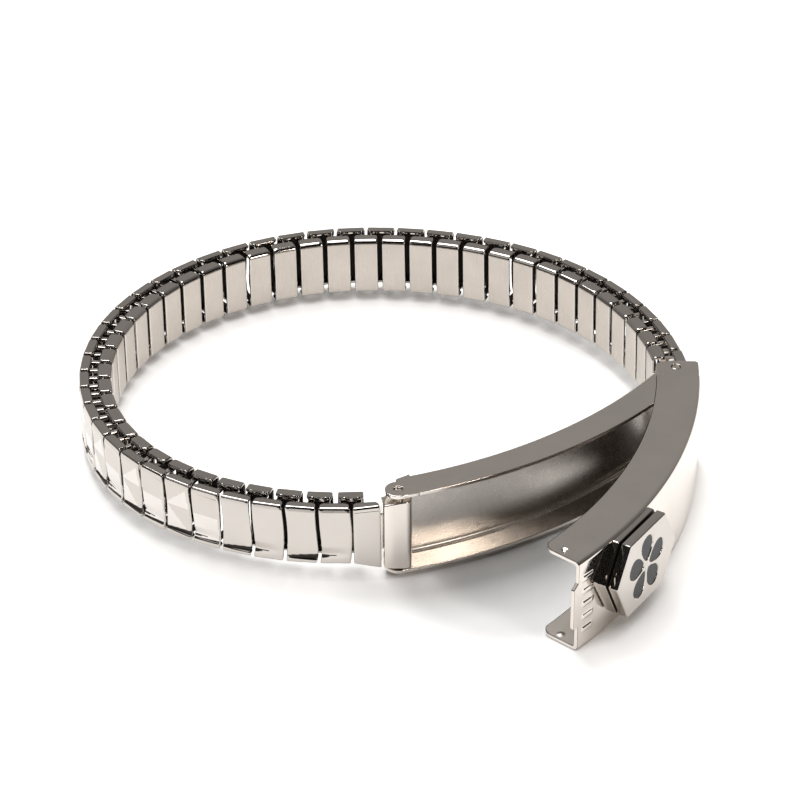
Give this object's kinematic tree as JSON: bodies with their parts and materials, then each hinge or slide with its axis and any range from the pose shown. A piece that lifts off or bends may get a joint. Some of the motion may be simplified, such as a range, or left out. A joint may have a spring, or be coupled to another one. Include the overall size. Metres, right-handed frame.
{
  "type": "expansion bracelet with hinged message capsule",
  "caption": "Sprung steel link band closed by a curved capsule whose hinged lid stands open and carries a six-sided enamelled badge.",
  "frame": {"origin": "middle of the wrist opening, on the plane of the lid's lower edge", "axes": "+Z along the wrist, from the edge that lies on the surface to the upper edge; the capsule is at -Y and +X, and its hinge pin at +X"},
  "size_m": [0.0626, 0.0683, 0.01],
  "materials": {
    "polished_steel": "polished stainless steel",
    "brushed_steel": "fine brushed, along the height of the link",
    "capsule_steel": "satin sheet, rolled edges polished",
    "spring_steel": "bright strip",
    "enamel": "dark grey glossy enamel"
  },
  "bodies": {
    "root": {"outer_link_01": "polished_steel", "outer_link_02": "polished_steel", "outer_link_03": "polished_steel", "outer_link_04": "polished_steel", "outer_link_05": "polished_steel", "outer_link_06": "polished_steel", "outer_link_07": "polished_steel", "outer_link_08": "polished_steel", "outer_link_09": "polished_steel", "outer_link_10": "polished_steel", "outer_link_11": "polished_steel", "outer_link_12": "polished_steel", "outer_link_13": "polished_steel", "outer_link_14": "polished_steel", "outer_link_15": "polished_steel", "outer_link_16": "polished_steel", "outer_link_17": "polished_steel", "outer_link_18": "polished_steel", "outer_link_19": "polished_steel", "outer_link_20": "polished_steel", "outer_link_21": "polished_steel", "outer_link_22": "polished_steel", "outer_link_23": "polished_steel", "outer_link_24": "polished_steel", "outer_link_25": "polished_steel", "outer_link_26": "polished_steel", "outer_link_27": "polished_steel", "outer_link_28": "polished_steel", "outer_link_29": "polished_steel", "outer_link_30": "polished_steel", "outer_link_31": "polished_steel", "outer_link_32": "polished_steel", "outer_link_33": "polished_steel", "outer_link_34": "polished_steel", "outer_link_35": "polished_steel", "outer_link_36": "polished_steel", "outer_link_37": "polished_steel", "outer_link_38": "polished_steel", "outer_link_39": "polished_steel", "outer_link_40": "polished_steel", "outer_link_41": "polished_steel", "end_link_left": "polished_steel", "end_link_right": "polished_steel", "end_roll_left": "polished_steel", "end_roll_right": "polished_steel", "inner_links": "brushed_steel", "clips_upper": "spring_steel", "clips_lower": "spring_steel", "pin_left": "spring_steel", "pin_hinge": "spring_steel", "tray": "capsule_steel"},
    "lid": {"lid": "capsule_steel", "badge_base": "polished_steel", "badge_plate": "polished_steel", "badge_enamel": "enamel"}
  },
  "joints": [
    {"name": "lid_hinge", "type": "hinge", "parent": "root", "child": "lid", "pos_m": [0.02921, -0.00526, 0.005], "axis": [0, 0, 1], "range_deg": [-32, 58]}
  ]
}
